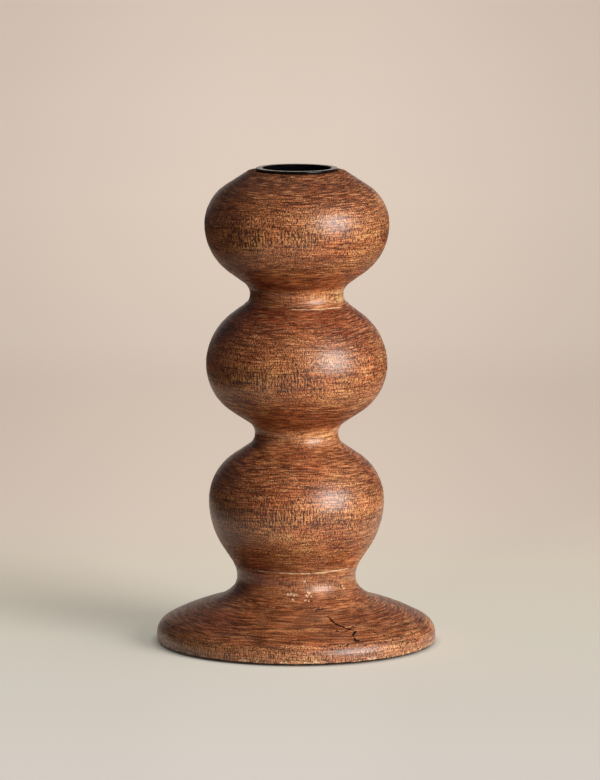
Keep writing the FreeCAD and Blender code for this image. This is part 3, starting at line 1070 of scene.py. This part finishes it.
def turned_wood():
    """Stained wood with a dull clear coat, which is thin underneath and missing on the flat top."""
    paint = Paint("turned_wood")
    rise = paint.split(paint.node("NewGeometry", {}, "Normal"))[2]
    fibre = grain_noise(paint, 0.34 * MM, 1.3 * MM, 0)
    speckle = paint.noise(paint.place(), 3000, 0)
    rubbed_and_highlit = paint.attribute("rubbed_and_highlit")
    dark = paint.attribute("dark")
    colour, streak = stain_colour(paint)
    colour = with_shape(paint, colour, rise)
    colour, fine_dark = with_streaks(paint, colour)
    colour, pore, comb = with_pores(paint, colour)
    colour = with_grit(paint, colour, rise, fibre, speckle)
    # Pale where the stain is rubbed or chipped off, and a painted highlight along the lit side of the joint
    # ridges
    colour = paint.mix(paint.spread(rubbed_and_highlit, 0.15, 0.65), colour, (0.86, 0.57, 0.34))
    # Dark in the cracks, pits and streak, and painted shade along the foot's lower corner
    colour = paint.mix(paint.spread(dark, 0.15, 0.6), colour, (0.016, 0.007, 0.004))
    paint.bump(fibre * 1.2 - pore * 0.8 - fine_dark * 0.5 - comb + speckle * 0.8, 0.8, 0.12 * MM)
    roughness = streak * 0.16 + pore * 0.18 + rubbed_and_highlit * 0.25 + speckle * 0.12 + 0.40
    bare = paint.larger(paint.attribute("flat"), dark)
    bare = paint.larger(bare, paint.spread(rise, -0.15, -0.75) * 0.8)
    return paint.finish(Base_Color=colour, Roughness=roughness, Specular_IOR_Level=0.16,
                        Coat_Weight=1.0 - bare, Coat_IOR=1.60, Coat_Roughness=0.36)


def beech():
    """Plain beech of the dowels, with short flecks along the grain."""
    paint = Paint("beech")
    grain = paint.noise(paint.stretched(900, 900, 60), 1, 3, 0.6)
    fleck = paint.noise(paint.stretched(2200, 2200, 350), 1, 1)
    colour = paint.ramp(grain, [(0.35, (0.43, 0.27, 0.15)), (0.65, (0.60, 0.42, 0.26))])
    colour = paint.tint(colour, paint.spread(fleck, 0.60, 0.72, 0, 0.6), (0.55, 0.40, 0.32))
    paint.bump(grain, 0.3, 0.1 * MM)
    return paint.finish(Base_Color=colour, Roughness=paint.spread(fleck, 0.3, 0.7, 0.5, 0.7))


def zinc_steel():
    """Zinc-plated steel of the screw and washer, slightly mottled."""
    paint = Paint("zinc_steel")
    mottle = paint.noise(paint.place(), 700, 3, 0.6)
    scuff = paint.noise(paint.stretched(4000, 4000, 500), 1, 2, 0.6)
    colour = paint.ramp(mottle, [(0.35, (0.42, 0.43, 0.44)), (0.65, (0.62, 0.63, 0.62))])
    paint.bump(scuff, 0.25, 0.03 * MM)
    return paint.finish(Base_Color=colour, Metallic=1.0, Roughness=paint.spread(scuff, 0.3, 0.7, 0.28, 0.46))


def felt():
    """Dark brown pressed felt, with short fibres that lie every way."""
    paint = Paint("felt")
    fibre = paint.noise(paint.place(), 2600, 3, 0.7, 1.5)
    patch = paint.noise(paint.place(), 160)
    colour = paint.ramp(fibre, [(0.35, (0.045, 0.033, 0.025)), (0.65, (0.210, 0.160, 0.120))])
    colour = paint.tint(colour, 0.5, paint.ramp(patch, [(0.3, (0.6,) * 3), (0.7, (1.0,) * 3)]))
    paint.bump(fibre, 0.8, 0.15 * MM)
    return paint.finish(Base_Color=colour, Roughness=paint.spread(fibre, 0.3, 0.7, 0.85, 1.0),
                        Sheen_Weight=0.4, Sheen_Roughness=0.5)


def black_enamel():
    """Black enamel of the cup, glossy on the rim and dull inside, slightly uneven, with a little dust."""
    paint = Paint("black_enamel")
    flow = paint.noise(paint.place(), 420)
    dust = paint.spread(paint.noise(paint.place(), 3300, 2, 0.6), 0.66, 0.74)
    inside = paint.attribute("inside")
    colour = paint.ramp(flow, [(0.3, (0.0015, 0.0015, 0.002)), (0.7, (0.0035, 0.0035, 0.004))])
    colour = paint.mix(dust * 0.10, colour, (0.06, 0.055, 0.05))
    paint.bump(flow, 0.12, 0.1 * MM)
    roughness = paint.spread(flow, 0.3, 0.7, 0.14, 0.24) + dust * 0.15 + inside * 0.60
    return paint.finish(Base_Color=colour, Roughness=roughness, Specular_IOR_Level=0.55 - inside * 0.54,
                        Specular_Tint=(0.86, 0.95, 1.0))


def spike_steel():
    """Dark drawn steel of the spike, with fine lines round it and patches of soot."""
    paint = Paint("spike_steel")
    lines = paint.noise(paint.stretched(300, 300, 6000), 1, 2, 0.6)
    soot = paint.noise(paint.place(), 500, 3, 0.6)
    colour = paint.ramp(lines, [(0.35, (0.20, 0.19, 0.18)), (0.65, (0.36, 0.35, 0.33))])
    colour = paint.tint(colour, paint.spread(soot, 0.45, 0.65, 0, 0.7), (0.25, 0.22, 0.20))
    paint.bump(lines, 0.2, 0.03 * MM)
    return paint.finish(Base_Color=colour, Metallic=1.0, Roughness=paint.spread(soot, 0.3, 0.7, 0.26, 0.5))


def seen_directly(nodes):
    """1 for rays from the camera, from gloss and through glass, and 0 for the rest."""
    from_camera, from_gloss, through_glass = (
        nodes.node("LightPath", {}, f"Is {kind} Ray") for kind in ("Camera", "Glossy", "Transmission"))
    return nodes.larger(nodes.larger(from_camera, from_gloss), through_glass)


def unseen_by_camera(nodes):
    """0 for rays from the camera and 1 for the rest."""
    return 1.0 - nodes.node("LightPath", {}, "Is Camera Ray")


def paper_glow(paint, right, back):
    """Painted glow that keeps the paper pale: cool near the stand, warm behind it, and painted shade darker
    to the sides.
    """
    glow = paint.ramp(paint.spread(back, *paper_depth, kind="LINEAR"), [
        (0.000, (0.357, 0.338, 0.340)),
        (0.050, (0.315, 0.314, 0.291)),
        (0.075, (0.307, 0.311, 0.270)),
        (0.118, (0.343, 0.308, 0.249)),
        (0.145, (0.357, 0.292, 0.244)),
        (0.217, (0.327, 0.258, 0.212)),
        (0.247, (0.318, 0.253, 0.212)),
        (0.287, (0.355, 0.288, 0.244)),
        (0.350, (0.377, 0.307, 0.255)),
        (0.460, (0.399, 0.327, 0.274)),
        (0.600, (0.392, 0.320, 0.273)),
        (0.900, (0.358, 0.288, 0.244)),
    ])
    from_middle = (right + glow_shift) / (paint.larger(back, 0.0) * glow_widening + glow_half_width)
    centre = paint.math("EXPONENT", from_middle * from_middle * -1.0)
    centre = paint.larger(centre, paint.spread(back, 0.0, 0.6, 0.85, 0.0))
    # Painted shade that darkens the glow to the sides
    shade = paint.ramp(centre, [(0.0, (0.62,) * 3), (1.0, (1.02,) * 3)])
    mottle = paint.ramp(paint.noise(paint.place(), 3), [(0.3, (0.985,) * 3), (0.7, (1.0,) * 3)])
    return paint.tint(glow, 1.0, paint.tint(shade, 1.0, mottle))


def beyond_paper(paint, right, back):
    """1 beside and before the paper that reflections see, and 0 on it and for the camera."""
    half_width = paint.larger(back, 0.0) * strip_widening + strip_half_width
    beside = paint.spread(paint.math("ABSOLUTE", right) - half_width, 0, 0.04)
    before = paint.spread(back, -paper_front - 0.05, -paper_front, 1, 0)
    return paint.larger(beside, before) * unseen_by_camera(paint)


def floor_paint():
    """Pale paper that keeps the shadow, and is open from below and under the foot."""
    paint = Paint("floor_paper")
    right, back, _ = paint.split(paint.place())
    beyond = beyond_paper(paint, right, back)
    # Painted shade: the paper's glow fades in the crevice under the foot's edge
    crevice_shade = paint.node("AmbientOcclusion", {"Distance": crevice_shade_reach}, "AO")
    glow = paint.mix(beyond, paper_glow(paint, right, back), (0.0, 0.0, 0.0))
    glow = paint.mix(crevice_shade, (0.0, 0.0, 0.0), glow)
    paper = paint.node("BsdfDiffuse", {"Color": paint.mix(beyond, paper_colour, studio_colour)})
    lit = paint.node("Emission", {"Color": glow, "Strength": 1.0})
    seen = paint.node("AddShader", {0: paper, 1: lit})
    unseen = paint.node("BsdfDiffuse", {"Color": dim_paper_colour})
    choice = paint.node("MixShader", {0: seen_directly(paint), 1: unseen, 2: seen})
    radius = paint.node("VectorMath", {0: paint.place()}, "Value", operation="LENGTH")
    under_foot = paint.spread(radius, 0.85 * foot_radius, 0.9 * foot_radius, 1, 0)
    opening = paint.larger(under_foot, paint.node("NewGeometry", {}, "Backfacing"))
    clear = paint.node("BsdfTransparent", {})
    floor = paint.node("MixShader", {0: opening, 1: choice, 2: clear})
    paint.put(paint.tree.nodes["Material Output"].inputs["Surface"], floor)
    paint.tree.nodes.remove(paint.surface)
    return paint.material


def paper_floor():
    """Wide sheet of paper, a hair below the stand."""
    mesh = bpy.data.meshes.new("paper_floor")
    corners = [(right * floor_half_width, back * floor_half_width, -floor_gap)
               for right, back in ((-1, -1), (1, -1), (1, 1), (-1, 1))]
    mesh.from_pydata(corners, [], [(0, 1, 2, 3)])
    mesh.materials.append(floor_paint())
    floor = in_scene("paper_floor", mesh)


def key_lamp():
    """Large soft lamp at the front right."""
    azimuth = math.radians(key_azimuth)
    elevation = math.radians(key_elevation)
    towards = Vector((math.sin(azimuth) * math.cos(elevation), -math.cos(azimuth) * math.cos(elevation),
                      math.sin(elevation)))
    lamp = bpy.data.lights.new("key", "SUN")
    lamp.energy = key_strength
    lamp.angle = math.radians(key_width)
    lamp.color = key_colour
    key = in_scene("key", lamp)
    key.rotation_euler = towards.to_track_quat("Z", "Y").to_euler()


def world_light():
    """Weak warm light, stronger from the right, and for reflections a pale wall and a dark studio."""
    world = bpy.data.worlds.new("studio")
    world.use_nodes = True
    nodes = Nodes(world.node_tree)
    background = nodes.tree.nodes["Background"]
    right, back, up = nodes.split(nodes.node("TexCoord", {}, "Generated"))
    fill = nodes.mix(nodes.spread(right, *fill_span, kind="LINEAR"), fill_left, fill_right)
    nodes.put(background.inputs["Color"], fill)
    low = nodes.spread(up, *wall_top, 1.0, 0.0, "LINEAR")
    behind = nodes.spread(back, *wall_side, kind="LINEAR")
    studio = (1.0 - low * behind) * unseen_by_camera(nodes)
    wall = nodes.node("Background", {"Color": nodes.mix(studio, wall_colour, studio_colour)})
    light = Value(nodes, background.outputs[0])
    choice = nodes.node("MixShader", {0: seen_directly(nodes), 1: light, 2: wall})
    nodes.put(nodes.tree.nodes["World Output"].inputs["Surface"], choice)
    bpy.context.scene.world = world


def camera():
    """Camera fitted to the photograph's outline."""
    lens = bpy.data.cameras.new("camera")
    lens.lens = camera_lens
    lens.sensor_width = camera_sensor
    lens.clip_start, lens.clip_end = camera_clip
    eye = in_scene("camera", lens)
    turn = Matrix.Rotation(math.pi / 2 - camera_pitch, 4, "X") @ Matrix.Rotation(camera_roll, 4, "Z")
    eye.matrix_world = Matrix.Translation(camera_place) @ turn
    bpy.context.scene.camera = eye


def painted(piece, material):
    """The piece in one material."""
    piece.data.materials.clear()
    piece.data.materials.append(material)


def build():
    """Every piece that shows in place of its node, and paint for the rest."""
    wood = turned_wood()
    for piece, node in (
        (foot_piece(), "foot"),
        (lower_bobbin_piece(), "lower_bobbin"),
        (middle_bobbin_piece(), "middle_bobbin"),
        (upper_bobbin_piece(), "upper_bobbin"),
    ):
        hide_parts(node)
        painted(piece, wood)
    cup = cup_piece()
    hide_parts("candle_cup")
    painted(cup, black_enamel())
    spike = spike_piece()
    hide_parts("pricket")
    painted(spike, spike_steel())
    pad = felt_piece()
    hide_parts("felt_disc")
    painted(pad, felt())
    dowel_wood = beech()
    for node in ("middle_dowel", "upper_dowel"):
        painted(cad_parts[node], dowel_wood)
    plated = zinc_steel()
    for node in ("foot_screw", "screw_washer"):
        painted(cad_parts[node], plated)


build()
paper_floor()
key_lamp()
world_light()
camera()
bpy.context.scene.view_settings.view_transform = "Standard"
